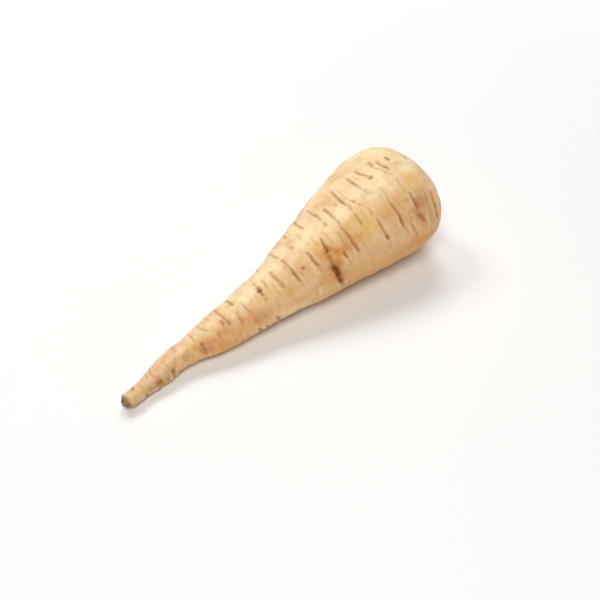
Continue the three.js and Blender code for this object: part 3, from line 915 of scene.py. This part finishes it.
# ---- rim and crown ------------------------------------------------------------------
c = mix(c, STAINS["m"], calc("MULTIPLY", rim_at, remap(grain(2, 3, 3, 0.6, 67.0), 0.35, 0.7, 0.15, 0.75)))
peel = grain(0.9, 0.9, 4, 0.65, 71.0, 0.6)
bark = mix(rgb(156, 102, 72), rgb(198, 148, 108), remap(peel, 0.34, 0.62))
bark = mix(bark, rgb(184, 142, 122), calc("MULTIPLY", remap(grain(2.6, 2.6, 3, 0.6, 72.0), 0.46, 0.66), 0.5))
stub = mix(rgb(196, 142, 104), rgb(228, 184, 136), tone_at)
stub = mix(stub, rgb(158, 104, 72), calc("MULTIPLY", remap(grain(0.7, 0.7, 3, 0.6, 73.0), 0.46, 0.68), 0.7))
bark = mix(bark, stub, remap(high_at, 0.55, 0.92, 0.0, 0.92))
# painted shade: darker on the low parts of the disc and in its hollows
bark = mix(bark, rgb(130, 78, 50), remap(high_at, 0.42, 0.10, 0.0, 0.75))
bark = mix(bark, rgb(116, 64, 38), calc("MULTIPLY", remap(hollow_at, 0.25, 0.95), 0.6))
bark = mix(bark, rgb(226, 182, 126), calc("MULTIPLY", fresh_at, remap(grain(1.2, 1.2, 3, 0.6, 79.0), 0.3, 0.6, 0.6, 1.0)))
bark = mix(bark, rgb(184, 142, 76), calc("MULTIPLY", fresh_core_at, 0.75))
# the ring groove near black: partly dark withered skin, partly painted shade
bark = mix(bark, rgb(92, 38, 12), calc("MULTIPLY", groove_at, 0.95))
c = mix(c, bark, crown_at)

# ---- the broken tip --------------------------------------------------------------------
c = mix(c, mix(rgb(164, 120, 84), rgb(116, 82, 52), remap(grain(0.9, 0.9, 3, 0.6, 83.0), 0.4, 0.65)), calc("MULTIPLY", tip_at, 0.9))
c = mix(c, rgb(82, 58, 32), calc("MULTIPLY", tip_edge_at, remap(grain(1.2, 1.5, 3, 0.6, 89.0), 0.30, 0.55, 0.70, 0.98)))
c = mix(c, rgb(226, 172, 136), calc("MULTIPLY", tip_core_at, 0.85))

# ---- relief too fine for the mesh --------------------------------------------------------
wrinkle = grain(0.75, 8.0, 3, 0.6, 97.0, 0.3)
hair = grain(0.30, 2.4, 2, 0.6, 101.0)
pore = grain(0.45, 0.45, 3, 0.6, 103.0)
pebble = grain(2.4, 3.4, 3, 0.55, 113.0)
fine_relief = calc("ADD", calc("MULTIPLY", wrinkle, calc("MULTIPLY", banded, 0.75)), calc("ADD", calc("MULTIPLY", hair, 0.30), calc("MULTIPLY", pore, 0.34)))
fine_relief = calc("ADD", fine_relief, calc("MULTIPLY", pebble, 1.1))
fine_relief = calc("ADD", fine_relief, calc("MULTIPLY", calc("MULTIPLY", peel, crown_at), 2.2))
fine_relief = calc("SUBTRACT", fine_relief, calc("MULTIPLY", calc("MAXIMUM", dark, calc("MAXIMUM", olive, brown)), 0.5))
bump = node("ShaderNodeBump", (("Strength", 0.85), ("Distance", 0.00026), ("Height", fine_relief)))

rough = remap(grain(3.5, 5.0, 3, 0.6, 107.0), 0.3, 0.7, 0.44, 0.60)
rough = calc("ADD", rough, calc("MULTIPLY", remap(pore, 0.35, 0.7), 0.08))
rough = calc("ADD", rough, calc("MULTIPLY", calc("MAXIMUM", dark, calc("MAXIMUM", olive, brown)), 0.22))
rough = calc("ADD", rough, calc("MULTIPLY", calc("MAXIMUM", crown_at, tip_at), 0.28), clamp=True)

shader = tree.nodes.new("ShaderNodeBsdfPrincipled")
tree.links.new(c, shader.inputs["Base Color"])
tree.links.new(rough, shader.inputs["Roughness"])
tree.links.new(bump, shader.inputs["Normal"])
shader.inputs["Specular IOR Level"].default_value = 0.42
shader.inputs["IOR"].default_value = 1.42
shader.inputs["Subsurface Weight"].default_value = 0.18
shader.inputs["Subsurface Radius"].default_value = (1.0, 0.5, 0.22)
shader.inputs["Subsurface Scale"].default_value = 0.0035
output = tree.nodes.new("ShaderNodeOutputMaterial")
tree.links.new(shader.outputs[0], output.inputs["Surface"])
mesh.materials.append(skin)

# =========================================================================
# 5. Floor, light and camera
# =========================================================================
# a wide white disc, lit from beneath further out so that it stays white where
# the lamps do not reach
FLOOR_RINGS = (0.1, 0.2, 0.3, 0.4, 0.5, 0.65, 0.8, 1.0, 1.2, 1.5, 1.9, 2.4, 3.2, 4.5, 7.0)
AROUND = 64
turns = np.arange(AROUND) * 2 * math.pi / AROUND
floor_r = np.concatenate([[0.0]] + [np.full(AROUND, q) for q in FLOOR_RINGS])
floor_v = [(0.0, 0.0, 0.0)] + [(q * math.cos(a), q * math.sin(a), 0.0) for q in FLOOR_RINGS for a in turns]
floor_f = [(0, 1 + n, 1 + (n + 1) % AROUND) for n in range(AROUND)]
for ring in range(len(FLOOR_RINGS) - 1):
    inner, outer = 1 + ring * AROUND, 1 + (ring + 1) * AROUND
    floor_f += [(inner + n, outer + n, outer + (n + 1) % AROUND, inner + (n + 1) % AROUND) for n in range(AROUND)]
floor_mesh = bpy.data.meshes.new("floor")
floor_mesh.from_pydata(floor_v, [], floor_f)
glow = 0.77 * (1 - 1 / (1 + (floor_r / 1.45) ** 2) ** 2) * smoothstep(0.15, 0.6, floor_r)
floor_mesh.attributes.new("glow", "FLOAT", "POINT").data.foreach_set("value", glow.astype(np.float32))
floor_mat = bpy.data.materials.new("floor")
floor_mat.use_nodes = True
paint = floor_mat.node_tree.nodes["Principled BSDF"]
paint.inputs["Base Color"].default_value = (0.93, 0.925, 0.92, 1)
paint.inputs["Roughness"].default_value = 0.9
paint.inputs["Specular IOR Level"].default_value = 0.1
paint.inputs["Emission Color"].default_value = (1.0, 0.995, 0.99, 1)
lit = floor_mat.node_tree.nodes.new("ShaderNodeAttribute")
lit.attribute_name = "glow"
floor_mat.node_tree.links.new(lit.outputs["Fac"], paint.inputs["Emission Strength"])
floor_mesh.materials.append(floor_mat)
floor = bpy.data.objects.new("floor", floor_mesh)
bpy.context.scene.collection.objects.link(floor)

AZIMUTH, ELEVATION, DISTANCE = -44.02968, 43.0, 0.688731
TARGET = Vector((0.013418, -0.0017475, -0.0004))
az, el = math.radians(AZIMUTH), math.radians(ELEVATION)
back = Vector((math.sin(az) * math.cos(el), -math.cos(az) * math.cos(el), math.sin(el)))
right = Vector((math.cos(az), math.sin(az), 0.0))
upward = back.cross(right)
away = Vector((-back.x, -back.y, 0)).normalized()

lens = bpy.data.cameras.new("camera")
lens.lens, lens.sensor_width = 80, 36
lens.clip_start, lens.clip_end = 0.01, 50
camera = bpy.data.objects.new("camera", lens)
camera.matrix_world = Matrix((
    (right.x, upward.x, back.x, TARGET.x + back.x * DISTANCE),
    (right.y, upward.y, back.y, TARGET.y + back.y * DISTANCE),
    (right.z, upward.z, back.z, TARGET.z + back.z * DISTANCE),
    (0, 0, 0, 1)))
bpy.context.scene.collection.objects.link(camera)
bpy.context.scene.camera = camera


def lamp(name, direction, distance, size, watts, colour=(1, 1, 1)):
    light = bpy.data.lights.new(name, "AREA")
    light.shape, light.size, light.energy, light.color = "DISK", size, watts, colour
    o = bpy.data.objects.new(name, light)
    d = direction.normalized()
    o.location = TARGET + d * distance
    o.rotation_euler = d.to_track_quat("Z", "Y").to_euler()
    bpy.context.scene.collection.objects.link(o)


UP = Vector((0, 0, 1))
lamp("front", UP * 1.0 - away * 0.6, 1.5, 0.75, 11.9, (1.0, 0.985, 0.965))
lamp("back", UP * 1.0 + away * 0.8, 1.5, 0.75, 8.4, (1.0, 0.99, 0.98))
lamp("key", UP * 1.0 - right * 0.62 + away * 0.42, 1.5, 0.5, 5.6, (1.0, 0.99, 0.97))

world = bpy.data.worlds.new("studio")
bpy.context.scene.world = world
world.use_nodes = True
# a white studio wall low down all round, dimmer overhead
sky = world.node_tree.nodes["Background"]
sky.inputs[0].default_value = (1, 1, 1, 1)
facing = world.node_tree.nodes.new("ShaderNodeTexCoord")
height = world.node_tree.nodes.new("ShaderNodeSeparateXYZ")
level = world.node_tree.nodes.new("ShaderNodeMapRange")
world.node_tree.links.new(facing.outputs["Generated"], height.inputs[0])
world.node_tree.links.new(height.outputs[2], level.inputs[0])
for slot, value in ((1, 0.08), (2, 0.24), (3, 0.95), (4, 0.15)):
    level.inputs[slot].default_value = value
world.node_tree.links.new(level.outputs[0], sky.inputs[1])

bpy.context.scene.view_settings.view_transform = "Standard"
bpy.context.scene.view_settings.look = "None"
bpy.context.scene.view_settings.exposure = 0.0
bpy.context.scene.view_settings.gamma = 1.0
